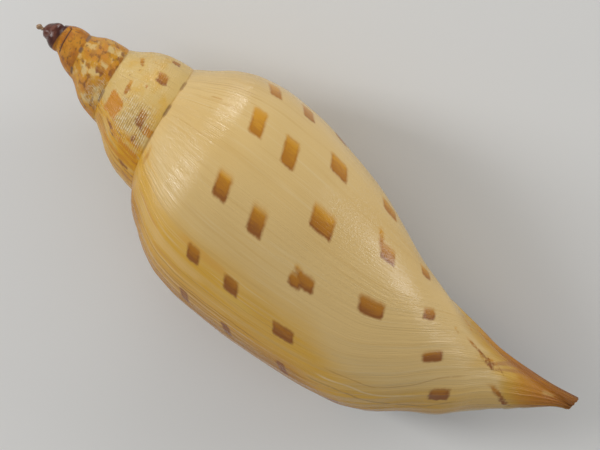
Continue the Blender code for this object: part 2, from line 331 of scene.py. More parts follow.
def cavity_loop(turn, outer_steps, inner_steps, relief):
    """Points round the open space of one turn: its outer side, then its inner side."""
    seam = float(suture(turn)[1])
    tip = float(canal_end(0, False)) - CANAL_RIM
    last = min(seam + (tip - LIP_SEAM) * RISE_GROWTH**turn, tip + turn * CHANNEL_RETREAT)

    def sides(x):
        slow = lagged(worn_turn(turn, x), x)
        outer = whorl(slow, x)[0] - wall(turn, x)
        inner = whorl(slow - 1, x)[0] + CALLUS * RADIUS_GROWTH**turn
        return slow, outer, inner

    samples = seam + (last - seam) * np.arange(GAP_STEPS + 1) / GAP_STEPS
    slow, outer, inner = sides(samples)
    is_open = outer - inner > LEAST_GAP * RADIUS_GROWTH**turn
    first = final = len(samples) // 2
    while first > 0 and is_open[first - 1]:
        first -= 1
    while final < len(samples) - 1 and is_open[final + 1]:
        final += 1
    start, length = samples[first], samples[final] - samples[first]
    x_outer = start + length * outer_steps
    x_inner = start + length * inner_steps[::-1]
    slow, outer, inner = sides(x_outer)
    points = [place(azimuth(slow), outer, x_outer)]
    slow, outer, inner = sides(x_inner)
    if relief:
        room = np.maximum(outer - inner - FOLD_CLEARANCE, 0)
        inner = inner + np.minimum(columella_folds(slow, x_inner), room)
    points.append(place(azimuth(slow), inner, x_inner))
    return np.concatenate(points), np.concatenate([x_outer, x_inner])


# ---- markings
# Degrees of growth before the lip, place below the suture, half length along the whorl and half
# width in mm, tilt, darkness, and how far the older end fades. A darkness under 0 is an orange
# patch, and under -1 a pale one.
SPOTS = [
    (190, 24.2, 3.4, 1.6, 0.27, 0.3, 0.25), (157.7, 24.4, 3.7, 1.9, 0.22, 0.28, 0.2),
    (121, 25.2, 3.2, 2, 0.22, 0.56, 0.7), (85.5, 27.4, 2.1, 1.8, 0.27, 0.75, 0.2),
    (56.2, 29.2, 2.6, 1.2, 0.3, 0.85, 0), (28, 31, 2.6, 1.9, 0.2, 0.75, 0.2),
    (191, 36.6, 3, 1.7, 0.22, 0.45, 0.2), (154.5, 36.7, 3.7, 2.05, 0.22, 0.4, 0.2),
    (118, 38.1, 3.3, 2.1, 0.22, 0.6, 0.7), (84.8, 40.1, 2.1, 2.1, 0.3, 0.85, 0.15),
    (54.5, 43.2, 2.6, 1.2, 0.3, 0.95, 0), (24, 43, 2.4, 2.1, 0.2, 0.8, 0.2),
    (169, 51.8, 2.6, 2.75, 0.24, 0.42, 0.2), (136.8, 54, 2.8, 3.25, 0.2, 0.43, 0.5),
    (108, 57.3, 1.75, 2.4, 0.2, 0.7, 0.25), (105.6, 54.6, 1.5, 1.6, 0.2, 0.6, 0.3),
    (111, 54, 0.9, 0.8, 0.3, 0.35, 0.5), (78.9, 57.8, 2, 2.9, 0.27, 0.82, 0.1),
    (51, 60.5, 3.2, 1.2, 0.3, 0.95, 0), (20.8, 60, 2.2, 2.4, 0.2, 0.8, 0.2),
    (178.7, 72, 2, 2.5, 0.1, 0.35, 0.2), (146, 73.1, 1.9, 2.3, 0.25, 0.52, 0.35),
    (151.9, 70.6, 2.2, 0.7, 0.3, 0.25, 0.4), (114.2, 73.3, 2.1, 3.3, 0.15, 0.7, 0.3),
    (32, 73, 2.2, 2.4, 0.2, 0.8, 0.2), (153.6, 84, 1.8, 1.9, -0.1, 0.38, 0.4),
    (117.4, 83, 1.6, 1.9, -0.2, 0.62, 0.4), (83.3, 84.2, 1.7, 2.6, 0.15, 0.85, 0.55),
    (46.2, 88, 2.3, 2.2, 0.3, 0.85, 0.25),
    # smudges on the fasciole, and specks by the canal tip
    (122.4, 97, 1.9, 0.45, 0, -0.3, 0.3), (107.2, 89.6, 0.9, 0.35, 0.3, 0.1, 0.3),
    (94.3, 95.5, 1.7, 0.65, 1.5, 0.62, 0.35), (79.2, 98, 1.1, 0.8, 0.8, 0.85, 0.2),
    (86.5, 97, 1, 0.45, 0.8, 0.5, 0.6), (79, 101, 1.3, 0.4, 0.3, 0.35, 0.6),
    (99, 93.8, 0.8, 0.5, 0.5, 0.3, 0.6), (83, 99.3, 0.7, 0.6, 0, 0.4, 0.5),
    (42, 100.1, 3.3, 0.9, 0.9, 0.72, 0.85),
    (46.4, 111.8, 0.3, 0.3, 0, 0.9, 0), (54.7, 113.5, 0.25, 0.25, 0, 0.9, 0),
    (72.7, 119.1, 0.3, 0.3, 0, 0.9, 0), (56.9, 119.2, 0.3, 0.3, 0, 0.9, 0),
    (106.6, 135.1, 0.3, 0.3, 0, 0.9, 0), (78, 125, 0.6, 0.5, 0, 1, 0),
    # brown at the suture of the last whorl
    (102, 1.9, 1.5, 0.5, 0.1, 0.3, 0.2), (96, 1.9, 1.2, 0.5, 0, 0.35, 0.2),
]
# The hidden side carries on in the same rows: place below the suture, and first spot's degrees
ROWS_BEHIND = [(24.5, 227), (36.6, 228), (50.5, 203), (70.5, 212), (84.0, 190)]
STEP_BEHIND = 35.0
LAST_BEHIND = 352
# They stray by so many degrees and mm, and the ranges are for a marking's last five numbers
STRAY_DEGREES = (-5, 5)
STRAY_BELOW = (-1, 1)
RANGES_BEHIND = [(2.0, 3.2), (1.5, 2.1), (0.1, 0.3), (0.3, 0.85), (0.05, 0.6)]
# The spire's markings, in the same terms
SPIRE_BLOTCHES = [
    # penultimate whorl
    (466, 7.8, 2.7, 2.6, -0.05, -0.35, 0), (492, 9.8, 1.9, 0.5, 0.1, 0.3, 0.2),
    (530.5, 8.6, 1.7, 0.6, 0.4, 0.35, 0.3), (550.5, 23, 1.1, 1, 0.2, 0.6, 0.1),
    (519, 21.6, 1.5, 1.5, 0.1, 0.55, 0.2), (477, 22.7, 2.1, 1.15, 0.1, 0.62, 0.4),
    (472, 28.3, 1.1, 1.3, 0, -0.25, 0.3), (459, 23.4, 0.6, 0.5, 0, 0.65, 0.1),
    (506, 7.4, 0.35, 0.3, 0, 0.6, 0), (517, 9.8, 0.35, 0.3, 0, 0.6, 0),
    (503, 17.1, 0.5, 0.4, 0, 0.25, 0), (449, 9.6, 0.35, 1.9, 0, 0.75, 0.1),
    (445, 13.6, 0.3, 1.2, 0, 0.7, 0.1), (447.5, 23, 0.6, 3.2, 0.15, -0.3, 0),
    (431, 23.8, 0.45, 1.6, 0, 0.7, 0.2), (397, 10, 1.6, 2, 0.2, 0.4, 0.1),
    (385, 22, 1.8, 1.4, 0.2, 0.7, 0.1), (575, 9.5, 1.2, 1.3, 0.2, 0.5, 0.1),
    # the whorl before it
    (864, 9.3, 0.9, 0.8, 0, 0.45, 0.2), (840, 11.5, 0.4, 1.2, 0, 0.5, 0.2),
    (846.8, 21.1, 0.9, 1.1, 0.1, 0.7, 0.3), (855.8, 29, 1.2, 0.55, 0, 0.75, 0),
    (882, 30.2, 0.9, 0.5, 0, 0.6, 0), (889, 10.8, 1.3, 0.35, 0.5, 0.5, 0.2),
    (909, 22, 1, 0.4, 0.5, 0.45, 0.2), (871, 19.5, 0.5, 0.5, 0, -0.4, 0),
    (890, 19.9, 1.1, 0.9, 0.3, -1.6, 0.3), (858, 21.5, 0.5, 1.1, 0.2, -1.6, 0.2),
    (838, 16, 0.7, 1, 0.3, -1.6, 0.2), (1160, 14.7, 0.35, 0.5, 0, 0.8, 0),
    (1166, 24.1, 0.35, 0.6, 0, 0.8, 0),
]
SPIRE_SPECKS = 26         # smaller marks, strewn over the hidden side of the early whorls
SPECK_ROWS = (6.0, 15.0, 25.0)
SPECK_RANGES = [(-0.2, 0.5), (0.2, 0.9), (0, 0.3)]   # tilt, darkness, fade
FAR = 3.0                 # mm: the distances that the mesh carries go no further
CORNER = 0.4              # rounding of a marking's corners
AHEAD = 0.4               # mm along the shell, each way, over which slopes are taken
LEAST_RATE = 0.05
REACH_BELOW = 14          # a marking is looked for no further than this from its middle


def all_markings():
    """Every marking as (turn, below, half length, half width, tilt, darkness, fade)."""
    rng = np.random.default_rng(5)
    marks = [(-d / 360, *rest) for d, *rest in SPOTS + SPIRE_BLOTCHES]
    for below, first in ROWS_BEHIND:
        for degrees in np.arange(first, LAST_BEHIND, STEP_BEHIND):
            where = -(degrees + rng.uniform(*STRAY_DEGREES)) / 360
            marks.append((where, below + rng.uniform(*STRAY_BELOW),
                          *(rng.uniform(*span) for span in RANGES_BEHIND)))
    for _ in range(SPIRE_SPECKS):
        where = -2.1 - rng.integers(0, 2) + rng.uniform(0.0, 0.5)
        size = RADIUS_GROWTH**(where + 1.2)
        marks.append((where, rng.choice(SPECK_ROWS) + rng.uniform(-2.5, 2.5),
                      size * rng.uniform(0.6, 1.5), size * rng.uniform(0.5, 1.1),
                      *(rng.uniform(*span) for span in SPECK_RANGES)))
    return marks


# Thin growth lines by the lip, as (below, turn) along each; a turn off the shell ends a line
LIP_LINES = {
    "brown_line": [(66, -0.162), (72.3, -0.154), (75.5, -0.142), (78.2, -0.125), (81.3, -0.108),
                   (84.1, -0.092), (87.3, -0.079), (89.7, -0.094), (92.5, -0.106)],
    "upper_line": [(69, -0.2), (74.1, -0.188), (76.6, -0.177), (79, -0.165), (83, -0.1625),
                   (86.7, -0.177), (92.7, -0.183)],
    "rust_line": [(97, -0.212), (100.1, -0.223), (105.3, -0.242), (120.7, -0.323),
                  (133.2, -0.369), (142, -0.4)],
    "rust_line_2": [(98, -0.199), (101.3, -0.208), (106.4, -0.223), (118, -0.272),
                    (130, -0.335)],
    "pale_line": [(68, -0.18), (74.8, -0.167), (78.2, -0.148), (81.2, -0.135), (86, -0.125)],
}
# Stretches of suture that are dark: from turn, to turn, strength
DARK_SUTURES = [
    (-3.56, -3.2, 0.4), (-2.55, -2.45, 0.9), (-2.395, -2.352, 1.0), (-2.24, -2.185, 1.0),
    (-1.51, -1.35, 0.35), (-1.305, -1.245, 0.8), (-0.475, -0.44, 0.7), (-0.395, -0.36, 0.8),
    (-0.32, -0.26, 0.45),
]
UNDERSIDE_TURN = 0.145    # the middle of the hidden side, in every whorl
UNDERSIDE_REACH = 0.2
UNDERSIDE_DARK = 0.6
SUTURE_EASE = 0.006


def suture_darkness(turn):
    """How dark the suture is: the table's stretches, and here and there on the hidden side."""
    hidden = np.abs((turn - UNDERSIDE_TURN + 0.5) % 1 - 0.5) < UNDERSIDE_REACH
    dark = UNDERSIDE_DARK * ramp(value_noise(51, turn * 9, 0.5), 0.25, 0.6) * hidden
    for start, end, strength in DARK_SUTURES:
        stretch = (ramp(turn, start - SUTURE_EASE, start + SUTURE_EASE)
                   * ramp(turn, end + SUTURE_EASE, end - SUTURE_EASE))
        dark = np.maximum(dark, strength * stretch)
    return dark


def mark_fields(turn, x, below):
    """Distance to the nearest marking's edge, and that marking's phase, darkness and fade."""
    nearest = np.full(turn.shape, FAR)
    phase, dark, fade = np.zeros((3, *turn.shape))
    slow = lagged(turn, x)
    r_here = whorl(slow, x)[0]
    ahead, behind = whorl(slow, x + AHEAD), whorl(slow, x - AHEAD)
    depth_rate = np.maximum((ahead[1] - behind[1]) / (2 * AHEAD), LEAST_RATE)
    slope = np.sqrt(1 + ((ahead[0] - behind[0]) / (2 * AHEAD))**2)
    for where, place_below, half_length, half_width, tilt, darkness, fading in all_markings():
        a = (turn - where) * 2 * math.pi * r_here
        near = (np.abs(a) < half_length + FAR) & (np.abs(below - place_below) < REACH_BELOW)
        if not near.any():
            continue
        b = (below - place_below) / depth_rate * slope - tilt * a
        over_a = np.abs(a) - half_length + CORNER
        over_b = np.abs(b) - half_width + CORNER
        outside = np.hypot(np.maximum(over_a, 0), np.maximum(over_b, 0))
        distance = outside + np.minimum(np.maximum(over_a, over_b), 0) - CORNER
        closer = near & (distance < nearest)
        nearest = np.where(closer, distance, nearest)
        phase = np.where(closer, 0.5 + 0.5 * a / half_length, phase)
        dark = np.where(closer, darkness, dark)
        fade = np.where(closer, fading, fade)
    return {"mark": nearest, "phase": np.clip(phase, 0, 1), "dark": dark, "fade": fade}


# ---- the mesh
# What the mesh carries at its corners, with each field's value where none is given
FIELDS = {**dict.fromkeys(("growth", "below", "along", "phase", "dark", "fade", "inside", "rim",
                           "seam_dark", "bead"), 0.0),
          **dict.fromkeys(("mark", "seam", *LIP_LINES), FAR)}


def closed(rows):
    """Each row with its first entry again at its end."""
    return np.array([np.append(row, row[0]) for row in rows])


class Shell:
    """Vertices, faces and the values at each face's corners."""

    def __init__(self):
        self.points, self.faces, self.polygons, self.sharp = [], [], [], []
        self.values = {name: [] for name in FIELDS}
        self.count = 0

    def add(self, points):
        points = np.asarray(points, float).reshape(-1, 3)
        self.points.append(points)
        self.count += len(points)
        return np.arange(self.count - len(points), self.count)

    def grid(self, ids, values):
        """Quads over a grid of vertices, with each field's value at every corner."""
        first, last = slice(None, -1), slice(1, None)
        corners = [(first, first), (first, last), (last, last), (last, first)]
        self.faces.append(np.stack([ids[c] for c in corners], -1).reshape(-1, 4))
        for name, blank in FIELDS.items():
            field = np.broadcast_to(np.asarray(values.get(name, blank), float), ids.shape)
            self.values[name].append(np.stack([field[c] for c in corners], -1).reshape(-1, 4))

    def cap(self, rings, tip, values):
        """Quads over closed rings of vertices, which end in a point."""
        rings.append(np.repeat(self.add([tip]), len(rings[0])))
        self.grid(closed(rings), values)

    def polygon(self, ids, values):
        self.polygons.append((list(map(int, ids)), values))

    def assembled(self):
        """Faces as lists, and the corner values in the same order."""
        quads = np.concatenate(self.faces)
        kept = quads != np.roll(quads, 1, axis=1)      # a ring that ends in a point gives triangles
        faces = [row[keep].tolist() for row, keep in zip(quads, kept)]
        faces += [ids for ids, _ in self.polygons]
        values = {}
        for name, blank in FIELDS.items():
            rest = [given.get(name, blank) for ids, given in self.polygons for _ in ids]
            values[name] = np.concatenate([np.concatenate(self.values[name])[kept], rest])
        return faces, values


def outer_values(turn, x, below):
    values = mark_fields(turn, x, below)
    seam, next_seam = suture(turn)[1], suture(turn + 1)[1]
    to_next = np.where(turn <= -1, next_seam - x, 99)
    nearer = np.where(to_next < x - seam, turn + 1, turn)
    to_seam = np.clip(np.minimum(x - seam, to_next), 0, FAR)
    values.update(growth=turn, along=x, below=below, seam=to_seam,
                  seam_dark=suture_darkness(nearer))
    girth = 2 * math.pi * whorl(lagged(turn, x), x)[0]
    for name, points in LIP_LINES.items():
        values[name] = np.clip((turn - smooth_curve(points)(below)) * girth, -FAR, FAR)
    return values


def outside_grid(turn, top, bottom, columns, relief):
    """Points of these turns' growth lines, from top to bottom, with their place and values."""
    x = top + (bottom - top) * np.linspace(0, 1, columns + 1)[None, :]
    points, below, worn = surface(turn + 0 * x, x, relief)
    return points, x, outer_values(worn, x, below)


def add_whorls(shell, relief):
    """The outside: the spiral band from suture to suture, and the base of the last whorl."""
    count = round(-FIRST_TURN * ROWS_PER_TURN)
    turn = (np.arange(-count, 1) / ROWS_PER_TURN)[:, None]
    top, bottom = suture(turn)[1], suture(turn + 1)[1]
    points, x, values = outside_grid(turn, top, bottom, BAND_COLUMNS, relief)
    band = np.zeros(x.shape, int)
    band[:, :-1] = shell.add(points[:, :-1]).reshape(count + 1, BAND_COLUMNS)
    free = slice(count - ROWS_PER_TURN + 1, None)
    band[free, -1] = shell.add(points[free, -1])
    band[:count - ROWS_PER_TURN + 1, -1] = band[ROWS_PER_TURN:, 0]
    shell.grid(band, values)
    shell.sharp.append(band[ROWS_PER_TURN:, 0])

    turn = (np.arange(ROWS_PER_TURN + 1) / ROWS_PER_TURN - 1)[:, None]
    top, bottom = suture(turn + 1)[1], canal_end(turn, relief)
    points, x, values = outside_grid(turn, top, bottom, BASE_COLUMNS, relief)
    base = np.zeros(x.shape, int)
    base[:, 0] = band[-ROWS_PER_TURN - 1:, -1]
    base[:, 1:] = shell.add(points[:, 1:]).reshape(ROWS_PER_TURN + 1, BASE_COLUMNS)
    shell.grid(base, values)
    return band, base, x


BEAD_OFFSET = 0.7         # of the bead's middle from the axis
BEAD_LEAN = -0.12         # and how far it leans, for each mm of level
BEAD_KNOBS = 0.07         # its three low knobs, as a share of its radius
BEAD_SHAPE = [(0.0, 0.52), (-0.3, 0.43), (-0.62, 0.52), (-0.95, 0.74), (-1.3, 0.74),
              (-1.62, 0.56), (-1.82, 0.3)]   # level, radius
BEAD_TIP = -1.9
DOME_RINGS = (0.9, 0.8, 0.7, 0.6, 0.5, 0.4, 0.3)
FIRST_ROW_SHARE = 0.4


def add_bead(shell, band):
    """Close the top of the dome, and set the calcarella on it."""
    where = np.concatenate(shell.points)
    loop = np.concatenate([band[:ROWS_PER_TURN + 1, 0], band[0, -2:0:-1]])
    number = np.arange(len(loop))
    turned = np.minimum(number, ROWS_PER_TURN) / ROWS_PER_TURN
    steps = np.where(number < ROWS_PER_TURN, 1.0, FIRST_ROW_SHARE)
    spread = (np.cumsum(steps) - steps) / steps.sum()
    start = float(azimuth(FIRST_TURN))
    edge = np.hypot(where[loop, 1], where[loop, 2])
    rings = [loop]
    for share in DOME_RINGS:
        angle = start + 2 * math.pi * (turned * share + spread * (1 - share))
        r = share * edge
        level = DOME_HEIGHT * (1 - np.sqrt(1 - np.minimum(r / DOME_RADIUS, 1.0)**2))
        rings.append(shell.add(np.stack([level, r * np.sin(angle), r * np.cos(angle)], -1)))
    angle = start + 2 * math.pi * spread
    knobs = 1 + BEAD_KNOBS * np.sin(3 * angle + 1.0)
    for level, r in BEAD_SHAPE:
        lean = BEAD_OFFSET + BEAD_LEAN * level
        rings.append(shell.add(np.stack([level + 0 * angle, lean + r * knobs * np.sin(angle),
                                         r * knobs * np.cos(angle)], -1)))
    tip = (BEAD_TIP, BEAD_OFFSET + BEAD_LEAN * BEAD_TIP, 0)
    bead = np.array([0.0] * (len(DOME_RINGS) + 1) + [1.0] * (len(BEAD_SHAPE) + 1))
    shell.cap(rings, tip, {"growth": FIRST_TURN, "bead": bead[:, None]})


def add_cavity(shell, lip_x, pillar_x, relief):
    """The open space behind the lip."""
    outer_steps = (lip_x - lip_x[0]) / (lip_x[-1] - lip_x[0])
    inner_steps = (pillar_x - pillar_x[0]) / (pillar_x[-1] - pillar_x[0])
    turns = -np.arange(round(CAVITY_TURNS * CAVITY_ROWS) + 1) / CAVITY_ROWS
    ids, along = [], []
    for turn in turns:
        points, x = cavity_loop(turn, outer_steps, inner_steps, relief)
        ids.append(shell.add(points))
        along.append(x)
    ids, along = closed(ids), closed(along)
    turns = turns[:, None] + 0 * along
    shell.grid(ids, {"growth": turns, "along": along, "below": whorl(turns, along)[1],
                     "inside": 1.0})
    first, last = ids[0][:-1], ids[-1][:-1]
    split = len(lip_x)
    return first[:split], first[:split - 1:-1], last[:split], last[:split - 1:-1]


# Rings into the hollow tip: share of its radius, depth in mm, how much is cut edge
TIP_RINGS = [(0.9, -0.1, 1.0), (0.78, 0.15, 0.6), (0.62, 0.7, 0.1), (0.4, 1.1, 0.0)]
PILLAR_EDGE = 0.4         # how much of the glaze's edge on the pillar is cut edge
LIP_AHEAD = 0.01          # turns past the lip, where it would have grown next


def add_rim(shell, lip, pillar, tip_edge, outer, inner, lip_x, pillar_x):
    """The rounded cut edge of the lip, the edge of the glaze, and the canal's hollow tip."""
    points = np.concatenate(shell.points)
    a, b = points[lip], points[outer]
    zero = np.zeros(len(lip))
    onward = surface(zero + LIP_AHEAD, lip_x, False)[0] - surface(zero, lip_x, False)[0]
    onward /= np.linalg.norm(onward, axis=1, keepdims=True)
    thickness = np.linalg.norm(b - a, axis=1, keepdims=True)
    rows = [lip]
    for step in range(1, RIM_STEPS):
        t = step / RIM_STEPS
        rows.append(shell.add(a + (b - a) * t
                              + onward * RIM_BULGE * thickness * math.sin(math.pi * t)))
    rows.append(outer)
    share = np.linspace(0, 1, len(rows))[:, None]
    shell.grid(np.array(rows), {"rim": 1.0, "inside": share, "along": lip_x})
    shell.grid(np.array([inner, pillar]), {"rim": PILLAR_EDGE, "along": pillar_x,
                                           "inside": np.array([[1.0], [0.5]])})
    shell.polygon([row[0] for row in rows] + [inner[0]], {"rim": 1.0})

    ring = points[tip_edge]
    centre = ring.mean(axis=0)
    rings = [tip_edge]
    for share, depth, _ in TIP_RINGS:
        rings.append(shell.add(centre + (ring - centre) * share - np.array([depth, 0, 0])))
    rim = np.array([1.0, *(edge for _, _, edge in TIP_RINGS), 0.0])[:, None]
    shell.cap(rings, centre - np.array([TIP_RINGS[-1][1], 0, 0]),
              {"rim": rim, "inside": 1 - rim, "along": SHELL_END})
    shell.polygon([row[-1] for row in reversed(rows)] + [pillar[-1], inner[-1]],
                  {"rim": 1.0, "along": SHELL_END})


def close_inner_end(shell, outer, inner):
    """A flat wall across the last section of the cavity."""
    points = np.concatenate(shell.points)
    i = j = 0
    dark = {"inside": 1.0, "growth": -CAVITY_TURNS}
    while i < len(outer) - 1 or j < len(inner) - 1:
        next_outer = points[outer[i + 1], 0] if i < len(outer) - 1 else math.inf
        next_inner = points[inner[j + 1], 0] if j < len(inner) - 1 else math.inf
        if next_outer <= next_inner:
            shell.polygon([outer[i], outer[i + 1], inner[j]], dark)
            i += 1
        else:
            shell.polygon([outer[i], inner[j + 1], inner[j]], dark)
            j += 1


def build_shell(relief):
    shell = Shell()
    band, base, base_x = add_whorls(shell, relief)
    add_bead(shell, band)
    lip = np.concatenate([band[-1], base[-1, 1:]])
    lip_x = np.concatenate(shell.points)[lip, 0]
    pillar, pillar_x = base[0], base_x[0]
    outer, inner, last_outer, last_inner = add_cavity(shell, lip_x, pillar_x, relief)
    close_inner_end(shell, last_outer, last_inner)
    add_rim(shell, lip, pillar, base[::-1, -1], outer, inner, lip_x, pillar_x)
    return shell


# ---- into the world
TO_WORLD = Matrix(((1, 0, 0), (0, -1, 0), (0, 0, 1))).to_4x4()
RESTING = (Matrix.Scale(MM, 4) @ Matrix.Rotation(math.radians(REST_PITCH), 4, 'Y')
           @ Matrix.Rotation(math.radians(REST_ROLL), 4, 'X') @ TO_WORLD)


def resting(points):
    """Shell-frame points in the world, lying as the CAD solid lies, before it is centred."""
    turned = points @ np.array(RESTING.to_3x3()).T
    edge = turned[:, 2].min() + WORN_DEPTH * MM
    low = turned[:, 2] < edge
    turned[low, 2] = edge + (turned[low, 2] - edge) * WORN_LEFT
    return turned


def centring():
    """The CAD box's middle less the plain surface's: where the shell's frame sits."""
    plain = resting(np.concatenate(build_shell(False).points))
    low, high = plain.min(axis=0), plain.max(axis=0)
    cad_low, cad_high = map(np.array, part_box("volute_shell"))
    shift = (cad_low + cad_high) / 2 - (low + high) / 2
    shift[2] = cad_low[2] - low[2]
    return shift


def make_object(shell, shift):
    points = resting(np.concatenate(shell.points)) + shift
    points[:, 2] = np.maximum(points[:, 2], 0)
    faces, values = shell.assembled()
    mesh = bpy.data.meshes.new("shell_surface")
    mesh.from_pydata(points.tolist(), [], faces)
    for name, corner_values in values.items():
        layer = mesh.attributes.new(name, "FLOAT", "CORNER")
        layer.data.foreach_set("value", corner_values)
    sharp = {tuple(sorted(pair)) for line in shell.sharp for pair in zip(line, line[1:])}
    work = bmesh.new()
    work.from_mesh(mesh)
    bmesh.ops.recalc_face_normals(work, faces=work.faces)
    for edge in work.edges:
        edge.smooth = tuple(sorted(v.index for v in edge.verts)) not in sharp
    for face in work.faces:
        face.smooth = True
    work.to_mesh(mesh)
    work.free()
    piece = bpy.data.objects.new("shell_surface", mesh)
    bpy.context.scene.collection.objects.link(piece)
    return piece


# ---- colours and finish
CREAM = (0.76, 0.53, 0.215)
TAN = (0.69, 0.45, 0.15)
HONEY = (0.6, 0.35, 0.08)
PALE = (0.82, 0.64, 0.35)
GOLD = (0.73, 0.4, 0.03)
DEEP_GOLD = (0.66, 0.31, 0.004)
BROWN_GOLD = (0.47, 0.19, 0.0)
LINE_BROWN = (0.36, 0.15, 0.015)
DARK_LINE = (0.34, 0.155, 0.03)
ORANGE = (0.63, 0.24, 0.0)
RUST = (0.33, 0.125, 0.02)
SPOT_OLD = (0.68, 0.31, 0.008)
SPOT_MID = (0.46, 0.17, 0.004)
SPOT_NEW = (0.28, 0.082, 0.006)
PINKISH = (0.42, 0.17, 0.06)
SPIRE_CREAM = (0.74, 0.51, 0.175)
SPIRE_GOLD = (0.74, 0.37, 0.004)
SPIRE_ORANGE = (0.62, 0.24, 0.0)
SPIRE_STREAK = (0.64, 0.26, 0.004)
# pale cream of the early whorls, brightened to stand in for glints: partly painted highlight
EARLY_CREAM_GLINT = (0.79, 0.57, 0.23)
FLECK_BROWN = (0.24, 0.075, 0.004)
NECK_ORANGE = (0.52, 0.17, 0.0)
NECK_GOLD = (0.68, 0.28, 0.004)
# The weave's groove brown is partly painted shade, and its pale crest colour is partly painted
# glints
THREAD_GROOVE_SHADE = (0.44, 0.2, 0.05)
THREAD_CREST_GLINT = (0.92, 0.79, 0.55)
CANAL_STREAK = (0.6, 0.26, 0.02)
CANAL_DARK = (0.24, 0.085, 0.02)
DOME_RED = (0.07, 0.016, 0.01)
DOME_BROWN = (0.16, 0.05, 0.03)
BEAD_TAN = (0.36, 0.22, 0.12)
GLAZE = (0.62, 0.37, 0.17)
GLAZE_DEEP = (0.7, 0.55, 0.36)
RIM_PALE = (0.76, 0.62, 0.36)
SEAM_DARK = (0.17, 0.095, 0.05)
ROUGHNESS = (0.15, 0.26)  # from the glossiest places to the most worn
GLAZE_IOR = 1.42
# Heights of the fine relief
GROWTH_THREADS = 0.22 * MM
SILK = 0.08 * MM
SPIRE_THREADS = 0.01 * MM
WOVEN_THREADS = 0.05 * MM
CRACKLE = 0.16 * MM
THREAD_SPACING = 1.05     # mm, at full size
# From cream to the tip, by share of the canal's length
CANAL_STOPS = [
    (0.0, (0.7, 0.46, 0.15)), (0.12, (0.64, 0.36, 0.05)), (0.28, (0.58, 0.26, 0.012)),
    (0.48, (0.5, 0.185, 0.005)), (0.72, (0.43, 0.15, 0.008)), (0.9, (0.33, 0.115, 0.015)),
    (1.0, (0.25, 0.085, 0.02)),
]
# Stripes along the growth lines: turn and half width in thousandths of a turn, middle and half
# length below the suture, colour, strength
STRIPES = [
    (-246, 5.5, 30, 8, (0.72, 0.39, 0.07), 0.75), (-210, 5.5, 23, 9, (0.78, 0.49, 0.15), 0.75),
    (-219, 5, 43, 5, (0.74, 0.47, 0.09), 0.6), (-222, 2.5, 10, 5, (0.64, 0.31, 0.05), 0.6),
    (-196, 2.5, 21, 5, (0.62, 0.3, 0.05), 0.55), (-174, 0.9, 31, 12, DARK_LINE, 0.8),
    (-169, 0.8, 8, 4, DARK_LINE, 0.6), (-143, 0.9, 58, 6, DARK_LINE, 0.8),
    (-186, 1, 17, 13, LINE_BROWN, 0.55), (-178, 0.8, 38, 14, LINE_BROWN, 0.6),
    (-164, 0.9, 22, 14, LINE_BROWN, 0.7), (-158, 0.7, 44, 16, LINE_BROWN, 0.65),
    (-151, 0.8, 20, 10, LINE_BROWN, 0.6), (-149, 0.9, 48, 18, LINE_BROWN, 0.7),
    (-168, 1.2, 34, 20, PALE, 0.4), (-154, 1.2, 36, 18, PALE, 0.35),
    (-136, 0.9, 34, 16, LINE_BROWN, 0.7), (-128, 0.8, 52, 12, LINE_BROWN, 0.7),
    (-200, 0.7, 36, 14, LINE_BROWN, 0.35), (-215, 0.6, 52, 12, LINE_BROWN, 0.3),
    (-477, 0.8, 16, 6, HONEY, 0.7), (-484, 0.8, 12, 8, LINE_BROWN, 0.4),
    (-491, 0.7, 9, 7, LINE_BROWN, 0.35), (-470, 0.6, 13, 7, LINE_BROWN, 0.3),
    (-463, 0.7, 14, 8, HONEY, 0.6), (-455, 0.6, 9, 6, HONEY, 0.6),
    (-445, 1.8, 10.5, 1.6, BROWN_GOLD, 0.45), (-436, 0.7, 14, 8, HONEY, 0.5),
    (-420, 0.7, 10, 7, HONEY, 0.5), (-375, 0.7, 8, 6, HONEY, 0.5),
]
# The same on the canal, placed along the shell instead
CANAL_STRIPES = [
    (-200, 12, 142.5, 3.0, (0.74, 0.43, 0.06), 0.75),
    (-320, 12, 150.5, 3.0, (0.66, 0.27, 0.008), 0.6),
    (-171, 15, 155.0, 1.5, (0.66, 0.42, 0.13), 0.6), (-360, 20, 141.0, 1.2, PINKISH, 0.4),
    (-228, 26, 138.5, 5.0, (0.68, 0.41, 0.09), 0.65),
]
# The single lines of LIP_LINES: half width in mm, colour, strength
LIP_LINE_LOOKS = {"brown_line": (0.4, (0.46, 0.25, 0.04), 0.7),
                  "upper_line": (0.22, LINE_BROWN, 0.35), "rust_line": (0.35, PINKISH, 0.6),
                  "rust_line_2": (0.25, PINKISH, 0.5), "pale_line": (0.35, PALE, 0.6)}


# ---- short ways to build nodes
class Value:
    """A number or colour in a node tree. Arithmetic on it adds Math nodes."""

    def __init__(self, nodes, socket):
        self.nodes = nodes
        self.socket = socket

    def __add__(self, other):
        return self.nodes.math("ADD", self, other)

    def __sub__(self, other):
        return self.nodes.math("SUBTRACT", self, other)

    def __rsub__(self, other):
        return self.nodes.math("SUBTRACT", other, self)

    def __mul__(self, other):
        return self.nodes.math("MULTIPLY", self, other)

    def __truediv__(self, other):
        return self.nodes.math("DIVIDE", self, other)

    def step(self, low, high, to_low=0.0, to_high=1.0):
        """Ease from to_low at low to to_high at high."""
        given = {"Value": self, "From Min": low, "From Max": high, "To Min": to_low,
                 "To Max": to_high}
        return self.nodes.new("ShaderNodeMapRange", given, interpolation_type="SMOOTHSTEP")

    def band(self, middle, half, soft):
        """1 within `half` of the middle, easing to 0 over `soft` beyond it."""
        return self.nodes.math("ABSOLUTE", self - middle).step(half + soft, half)

    def output(self, name):
        """Another output of the same node."""
        return Value(self.nodes, self.socket.node.outputs[name])


